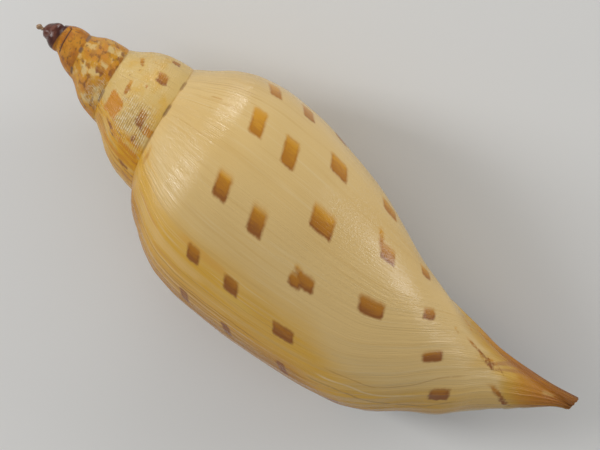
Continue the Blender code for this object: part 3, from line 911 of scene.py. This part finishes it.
class Nodes:
    """Adds nodes to a tree, and gives back their outputs."""

    def __init__(self, tree):
        self.tree = tree

    def new(self, kind, inputs, output=0, **settings):
        node = self.tree.nodes.new(kind)
        for name, value in settings.items():
            setattr(node, name, value)
        for name, value in inputs.items():
            self.feed(node.inputs[name], value)
        return Value(self, node.outputs[output])

    def feed(self, socket, value):
        if isinstance(value, Value):
            self.tree.links.new(value.socket, socket)
        elif socket.type == "RGBA":
            socket.default_value = (*value, 1)
        else:
            socket.default_value = value

    def field(self, name):
        """A value that the mesh carries at its corners."""
        return self.new("ShaderNodeAttribute", {}, "Fac", attribute_name=name)

    def math(self, operation, *inputs):
        return self.new("ShaderNodeMath", dict(enumerate(inputs)), operation=operation)

    def larger(self, a, b):
        return self.math("MAXIMUM", a, b)

    def vector(self, *parts):
        return self.new("ShaderNodeCombineXYZ", dict(enumerate(parts)))

    def noise(self, vector, detail=2.0, roughness=0.5):
        return self.new("ShaderNodeTexNoise", {"Vector": vector, "Scale": 1.0, "Detail": detail,
                                               "Roughness": roughness}, "Fac")

    def mix(self, share, a, b):
        """From colour a to colour b. The node's colour sockets have no names of their own."""
        return self.new("ShaderNodeMix", {0: share, 6: a, 7: b}, 2, data_type="RGBA")

    def stops(self, share, stops):
        """Colours at given shares from 0 to 1, with straight changes between."""
        colour = self.new("ShaderNodeValToRGB", {"Fac": share}, "Color")
        elements = colour.socket.node.color_ramp.elements
        elements.remove(elements[-1])
        for place, tint in stops:
            element = elements.new(place) if place > 0 else elements[0]
            element.color = (*tint, 1)
        return colour


class ShellNodes(Nodes):
    """The shell's tree: where on the growing shell a point is, and its colour so far."""

    def __init__(self, tree):
        super().__init__(tree)
        self.growth = self.field("growth")
        self.below = self.field("below")
        self.along = self.field("along")
        self.spire = self.growth.step(-1.0, -1.08)
        self.body = 1.0 - self.spire
        self.colour = CREAM

    def grown(self, lines, across, shift=0.0, detail=2.0, roughness=0.5):
        """Noise by growth: so many cells a turn and a mm below. Each shift is a new pattern."""
        where = self.vector(self.growth * lines, self.below * across, shift)
        return self.noise(where, detail, roughness)

    def paint(self, share, tint):
        self.colour = self.mix(share, self.colour, tint)


# ---- the material
def paint_gold(n):
    """Tan bands, gold stripes towards the lip, brown-gold by the suture and on the last stretch."""
    n.paint(n.grown(7, 0.02, 1.0).step(0.48, 0.72) * 0.45, TAN)
    late = n.growth + n.below.step(12.0, 2.0, 0.0, 0.03) - n.below.step(60.0, 86.0, 0.0, 0.11)
    low_side = n.below.step(98.0, 84.0, 0.3, 1.0)
    stripy = n.grown(50, 0.02, 4.0, 3).step(0.36, 0.6, 0.6, 1.0)
    n.paint(late.step(-0.285, -0.215) * stripy * low_side, GOLD)
    stripy = n.grown(70, 0.02, 5.0, 3).step(0.34, 0.56, 0.45, 1.0)
    n.paint(late.step(-0.205, -0.15) * stripy * low_side, DEEP_GOLD)
    by_suture = n.growth.step(-0.2, -0.17) * n.below.step(14.0, 5.0)
    by_lip = late.step(-0.175, -0.13) * n.below.step(10.0, 40.0, 0.7, 1.0)
    stripy = n.grown(90, 0.02, 5.5, 3).step(0.3, 0.6, 0.5, 0.95)
    n.paint(n.larger(by_suture, by_lip) * low_side * stripy, BROWN_GOLD)
    return late


def paint_growth_lines(n, late):
    """Tan, pale and brown lines everywhere, and the stripes that the table places."""
    near_lip = late.step(-0.3, -0.18)
    tan_lines = n.grown(95, 0.018, 2.0, 3, 0.6).step(0.52, 0.7)
    n.paint(tan_lines * near_lip.step(0.0, 1.0, 0.22, 0.4), HONEY)
    n.paint(n.grown(240, 0.03, 3.0, 2, 0.6).step(0.54, 0.74) * 0.35, PALE)
    brown_lines = near_lip * n.grown(170, 0.012, 6.0, 2, 0.6).step(0.62, 0.71)
    n.paint(brown_lines * 0.55, BROWN_GOLD)
    wander = n.noise(n.vector(n.below * 0.12, n.growth * 9.0, 7.0)) - 0.5
    wandering = n.growth + wander * 0.008
    for turn, half, middle, reach, tint, strength in STRIPES:
        stripe = (wandering.band(turn / 1000, half * 0.6 / 1000, half * 0.8 / 1000)
                  * n.below.band(middle, reach * 0.7, reach * 0.6))
        n.paint(stripe * strength, tint)
    return wandering, brown_lines


def paint_canal(n, wandering):
    """Orange to rust, streaked, darkest at the tip and on the right."""
    start = n.growth.step(-0.36, -0.19, 124.0, 141.5) + n.growth.step(-0.19, -0.03, 0.0, 6.0)
    start += (n.grown(16, 0.05, 9.0, 3) - 0.5) * 5.0
    share = (n.along - start) / (SHELL_END - start)
    canal = n.stops(share, CANAL_STOPS)
    streak = n.grown(60, 0.03, 10.0, 3).step(0.44, 0.66)
    canal = n.mix(streak * share.step(0.15, 0.5, 0.0, 0.5), canal, CANAL_STREAK)
    fine = n.grown(140, 0.03, 11.0, 3).step(0.52, 0.7)
    canal = n.mix(fine * share.step(0.2, 0.6, 0.0, 0.4), canal, PINKISH)
    right = n.growth.band(-0.46, 0.06, 0.05) * n.along.step(142.0, 150.0)
    canal = n.mix(right * 0.5, canal, CANAL_DARK)
    n.paint(share.step(-0.04, 0.06), canal)
    for turn, half, middle, half_length, tint, strength in CANAL_STRIPES:
        stripe = (wandering.band(turn / 1000, half * 0.5 / 1000, half / 1000)
                  * n.along.band(middle, half_length * 0.6, half_length * 0.8))
        n.paint(stripe * strength * n.body, tint)
    return share


def paint_lip_lines(n):
    """Single lines: brown by the lip, rust up the canal's right side."""
    for name, (half, tint, strength) in LIP_LINE_LOOKS.items():
        first, last = LIP_LINES[name][0][0], LIP_LINES[name][-1][0]
        line = (n.field(name).band(0.0, half * 0.5, half)
                * n.below.band((first + last) / 2, (last - first) / 2 - 3, 3.0))
        ragged = n.grown(9, 0.5, 8.0).step(0.3, 0.5, 0.45, 1.0)
        n.paint(line * ragged * strength, tint)


def paint_spire(n):
    """Cream with gold clouds, gold towards the left, orange and flecked on the early whorls, with a
    band of pale cream patches there that are partly painted glints.
    """
    cloud = n.grown(11, 0.09, 12.0, 4, 0.6)
    spire = n.mix(cloud.step(0.46, 0.64) * 0.6, SPIRE_CREAM, GOLD)
    streak = n.grown(75, 0.06, 13.0, 3, 0.6)
    left = n.growth.step(-1.284, -1.26) * n.growth.step(-1.02, -1.1)
    left *= streak.step(0.34, 0.52, 0.3, 1.0)
    spire = n.mix(left, spire, n.mix(streak.step(0.5, 0.62), SPIRE_GOLD, SPIRE_STREAK))
    dark_streak = n.grown(130, 0.07, 13.5, 3, 0.6).step(0.56, 0.66) * left
    spire = n.mix(dark_streak * 0.85, spire, RUST)
    early = n.mix(cloud.step(0.38, 0.56), SPIRE_ORANGE, DEEP_GOLD)
    # Pale cream patches on one band of the early whorls: partly the shell's cream, partly painted
    # glints
    clearing_and_glint = cloud.step(0.51, 0.66) * n.growth.band(-2.33, 0.12, 0.12)
    early = n.mix(clearing_and_glint, early, EARLY_CREAM_GLINT)
    neck = n.mix(cloud.step(0.4, 0.58), NECK_ORANGE, NECK_GOLD)
    early = n.mix(n.growth.step(-2.75, -3.05), early, neck)
    early = n.mix(n.grown(26, 0.22, 14.0, 3).step(0.53, 0.7) * 0.9, early, FLECK_BROWN)
    spire = n.mix(n.growth.step(-1.75, -2.15), spire, early)
    spire = n.mix(n.grown(150, 0.05, 15.0, 3, 0.6).step(0.6, 0.7) * 0.35, spire, RUST)
    n.paint(n.spire, spire)


def paint_markings(n):
    """Square brown markings: newest end dark and crisp, oldest end orange and fading."""
    mark, phase, dark, fade = map(n.field, ("mark", "phase", "dark", "fade"))
    ragged = (n.grown(130, 0.45, 16.0, 3, 0.55) - 0.5) * 0.75
    ragged += (n.grown(60, 1.2, 16.8, 2, 0.6) - 0.5) * n.along.step(125.0, 138.0, 0.5, 2.5)
    ragged += (n.grown(45, 0.42, 16.5, 3) - 0.5) * n.spire * 1.9
    softness = n.spire * -0.13 + 0.46 + fade * (1.0 - phase) * 0.55
    cover = (mark + ragged).step(softness, softness * -1.0)
    cover *= 1.0 - fade * phase.step(0.28, 0.0)
    depth = dark + (phase - 0.5) * (fade * 0.9 + 0.35)
    depth += (n.grown(200, 0.3, 17.0, 3) - 0.5) * 0.45
    depth += mark.step(-0.9, -0.2, 0.0, 0.16)
    spot = n.mix(depth.step(0.12, 0.58), SPOT_OLD, SPOT_MID)
    spot = n.mix(depth.step(0.58, 1.0), spot, SPOT_NEW)
    spot = n.mix(dark.step(-0.05, -0.2), spot, ORANGE)
    spot = n.mix(dark.step(-1.0, -1.2), spot, SPIRE_CREAM)
    n.paint(cover * 0.95, spot)


def paint_suture(n):
    """A thin line that is dark in places, and the dark groove on the first whorl."""
    stained = n.field("seam_dark")
    width = stained * (n.grown(60, 0.0, 28.0) * 0.5 + 0.15) + 0.28
    line = n.field("seam").step(width, width * 0.35) * (stained * 0.65 + 0.2)
    line *= n.growth.step(-0.13, -0.18)
    n.paint(line, n.mix(stained, BROWN_GOLD, SEAM_DARK))
    groove = n.below.band(NECK_GROOVE, 0.45, 0.8) * n.growth.band(-3.37, 0.14, 0.04)
    n.paint(groove * 0.9, DOME_RED)


def paint_pits(n):
    """A few small dark pits, in about one cell in sixteen."""
    cell = n.vector(n.growth * 60.0, n.below * 0.33, 0.0)
    distance = n.new("ShaderNodeTexVoronoi", {"Vector": cell}, "Distance")
    chance = n.new("ShaderNodeSeparateColor", {0: distance.output("Color")})
    pit = distance.step(0.1, 0.04) * n.math("GREATER_THAN", chance, 0.94)
    n.paint(pit * n.body * 0.4, RUST)


def paint_weave_and_glints(n):
    """Woven sculpture: beaded spiral threads, clearest on the left of the spire, with painted shade
    in their grooves and painted glints on their crests.
    """
    waver = n.grown(20, 0.1, 18.0) * 2.5 + n.grown(90, 0.3, 18.5) * 3.0
    beads = (n.grown(190, 0.5, 18.7) - 0.5) * 5.0
    thread = n.math("SINE", n.below * (2 * math.pi / THREAD_SPACING) + waver) + beads
    woven_and_glints = n.growth.band(-1.305, 0.03, 0.04) * n.below.band(19.5, 6.5, 4.5)
    woven_and_glints += n.growth.band(-2.27, 0.05, 0.03) * n.below.band(24.0, 5.0, 3.0)
    woven_and_glints *= n.grown(26, 0.12, 19.0, 3, 0.6).step(0.38, 0.52)
    # Brown in the threads' grooves: partly their own colour, partly painted shade
    n.paint(thread.step(-0.3, -1.2) * woven_and_glints * 0.5, THREAD_GROOVE_SHADE)
    # Near-white on the threads' crests: partly their own cream, partly painted glints
    n.paint(thread.step(0.3, 1.2) * woven_and_glints * 0.85, THREAD_CREST_GLINT)
    return thread, woven_and_glints


def paint_dome(n):
    """The glossy red-brown dome and its bead."""
    dome = n.along.step(5.15, 4.75) * n.growth.step(-3.0, -3.2)
    mottle = n.noise(n.vector(n.growth * 7.0, n.along * 0.6, 20.0), detail=3.0)
    n.paint(dome, n.mix(mottle.step(0.46, 0.68), DOME_RED, DOME_BROWN))
    n.paint(n.field("bead"), BEAD_TAN)
    return dome


def paint_inside(n):
    """Glazed inside, peach at the lip and cream deeper in; the lip's edge is gold, then pale."""
    inside = n.field("inside")
    deep = n.mix(n.growth.step(-0.12, -0.5), GLAZE, GLAZE_DEEP)
    deep = n.mix(n.grown(30, 0.02, 21.0, 3).step(0.45, 0.7) * 0.35, deep, HONEY)
    deep = n.mix(n.along.step(128.0, 156.0, 0.0, 0.75), deep, PINKISH)
    n.paint(inside, deep)
    uneven = n.growth + (n.grown(20, 0.2, 26.0) - 0.5) * 0.03
    outer_edge = uneven.step(-0.045, -0.008) * n.along.step(108.0, 128.0, 0.2, 0.8)
    edge = n.larger(n.field("rim") * 0.85, outer_edge * (1.0 - inside))
    n.paint(edge, n.mix(n.along.step(96.0, 118.0), BROWN_GOLD, RIM_PALE))
    return inside


def fine_relief(n, thread, woven_and_glints):
    """Growth threads and silk, the weave, and the crackle that breaks up the gloss."""
    lined = n.larger(n.growth.step(-0.4, -0.3), n.below.step(26.0, 12.0))
    lined = n.larger(lined.step(0.0, 1.0, 0.35, 1.0), n.spire)
    threads = (n.grown(220, 0.02, 23.0, 3, 0.7) - 0.5) * GROWTH_THREADS
    silk = (n.grown(700, 0.08, 24.0, 2, 0.6) - 0.5) * SILK
    weave = thread * (n.spire * SPIRE_THREADS + woven_and_glints * WOVEN_THREADS)
    patches = n.grown(9, 0.06, 25.0).step(0.3, 0.5, 0.15, 1.0) * n.body
    patches *= n.growth.step(-0.27, -0.33) * n.below.step(48.0, 66.0, 0.25, 1.0)
    crackle = (n.grown(260, 0.75, 27.0, 3, 0.6) - 0.5) * patches * CRACKLE
    return (threads + silk) * lined + weave + crackle


def shell_material():
    material = bpy.data.materials.new("glossy_shell_grown")
    material.use_nodes = True
    tree = material.node_tree
    tree.nodes.clear()
    n = ShellNodes(tree)
    late = paint_gold(n)
    wandering, brown_lines = paint_growth_lines(n, late)
    canal_share = paint_canal(n, wandering)
    paint_lip_lines(n)
    paint_spire(n)
    paint_markings(n)
    paint_suture(n)
    paint_pits(n)
    thread, woven_and_glints = paint_weave_and_glints(n)
    dome = paint_dome(n)
    inside = paint_inside(n)

    # Gloss: glazed, duller along the brown lines and on the canal
    roughness = n.grown(40, 0.2, 22.0, 4).step(0.3, 0.7, *ROUGHNESS) + brown_lines * 0.1
    roughness += canal_share.step(0.3, 0.8) * 0.08
    roughness -= dome * 0.14
    height = fine_relief(n, thread, woven_and_glints) * (1.0 - inside * 0.8) * (1.0 - dome * 0.85)
    bump = n.new("ShaderNodeBump", {"Strength": 1.0, "Distance": 1.0, "Height": height}, "Normal")
    shader = n.new("ShaderNodeBsdfPrincipled",
                   {"Base Color": n.colour, "Roughness": roughness, "Normal": bump,
                    "Metallic": 0.0, "IOR": GLAZE_IOR})
    output = tree.nodes.new("ShaderNodeOutputMaterial")
    n.feed(output.inputs["Surface"], shader)
    return material


# ---- stage, lights and camera
CAMERA_ABOVE = 354.25     # mm over the shell's axis, square to it
CAMERA_AIM = (80.75, -0.25)   # along the shell, and left, at the axis
FIELD_WIDTH = 150.0       # mm across the picture at the axis
AXIS_DROP = 38.0          # degrees that the apex-to-canal line falls across the picture
FLOOR_SEEN = (0.8, 0.8, 0.79)       # the floor as the camera and reflections see it
FLOOR_BOUNCE = (0.22, 0.22, 0.21)     # the same floor as it lights the shell from below
FLOOR_ROUGHNESS = 0.9
FLOOR_REACH = 3.0         # metres each way
# The lamps: name, direction from the shell, distance and size in metres, power in watts
LAMPS = [("window", (0.532, 0.788, 0.309), 1.0, (0.36, 0.34), 2.5),
         ("window_2", (-0.637, 0.759, 0.139), 1.0, (0.32, 0.26), 2.8),
         ("key", (-0.79, -0.32, 0.52), 0.8, (0.2, 0.38), 2.45)]
SKY_COLOUR = (1, 0.99, 0.97)
SKY_STRENGTH = 0.42


def to_world(point, shift):
    return np.array(RESTING.to_3x3()) @ np.array(point, float) + shift


def add_camera(shift):
    drop = math.radians(AXIS_DROP)
    across = to_world((math.cos(drop), -math.sin(drop), 0), 0)
    upward = to_world((-math.sin(drop), -math.cos(drop), 0), 0)
    back = to_world((0, 0, 1), 0)
    axes = [Vector(v).normalized() for v in (across, upward, back)]
    camera = bpy.data.objects.new("camera", bpy.data.cameras.new("camera"))
    turn = Matrix(axes).transposed().to_4x4()
    where = Vector(to_world((*CAMERA_AIM, CAMERA_ABOVE), shift))
    camera.matrix_world = Matrix.Translation(where) @ turn
    camera.data.sensor_width = 36.0
    camera.data.lens = camera.data.sensor_width * CAMERA_ABOVE / FIELD_WIDTH
    camera.data.clip_start = 0.01
    bpy.context.scene.collection.objects.link(camera)
    bpy.context.scene.camera = camera


def add_softbox(name, towards, distance, size, power):
    """A soft rectangular lamp in that direction from the shell, aimed at it."""
    light = bpy.data.lights.new(name, "AREA")
    light.shape = "RECTANGLE"
    light.size, light.size_y = size
    light.energy = power
    lamp = bpy.data.objects.new(name, light)
    direction = Vector(towards).normalized()
    lamp.location = direction * distance
    lamp.rotation_mode = "QUATERNION"
    lamp.rotation_quaternion = direction.to_track_quat("Z", "Y")
    bpy.context.scene.collection.objects.link(lamp)


def plain_floor():
    mesh = bpy.data.meshes.new("floor")
    corners = [(-1, -1), (1, -1), (1, 1), (-1, 1)]
    mesh.from_pydata([(x * FLOOR_REACH, y * FLOOR_REACH, 0) for x, y in corners], [],
                     [(0, 1, 2, 3)])
    floor = bpy.data.objects.new("floor", mesh)
    material = bpy.data.materials.new("floor_paper")
    material.use_nodes = True
    n = Nodes(material.node_tree)
    shader = material.node_tree.nodes["Principled BSDF"]
    shader.inputs["Roughness"].default_value = FLOOR_ROUGHNESS
    seen = n.new("ShaderNodeLightPath", {}, "Is Camera Ray")
    for ray in ("Is Glossy Ray", "Is Transmission Ray"):
        seen = n.larger(seen, n.new("ShaderNodeLightPath", {}, ray))
    n.feed(shader.inputs["Base Color"], n.mix(seen, FLOOR_BOUNCE, FLOOR_SEEN))
    mesh.materials.append(material)
    bpy.context.scene.collection.objects.link(floor)


def studio(shift):
    plain_floor()
    for lamp in LAMPS:
        add_softbox(*lamp)
    world = bpy.data.worlds.new("studio")
    world.use_nodes = True
    background = world.node_tree.nodes["Background"]
    background.inputs["Color"].default_value = (*SKY_COLOUR, 1)
    background.inputs["Strength"].default_value = SKY_STRENGTH
    bpy.context.scene.world = world
    bpy.context.scene.view_settings.view_transform = "Standard"
    add_camera(shift)


shift = centring()
piece = make_object(build_shell(True), shift)
piece.data.materials.append(shell_material())
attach(piece, "root")
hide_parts("volute_shell")
studio(shift)
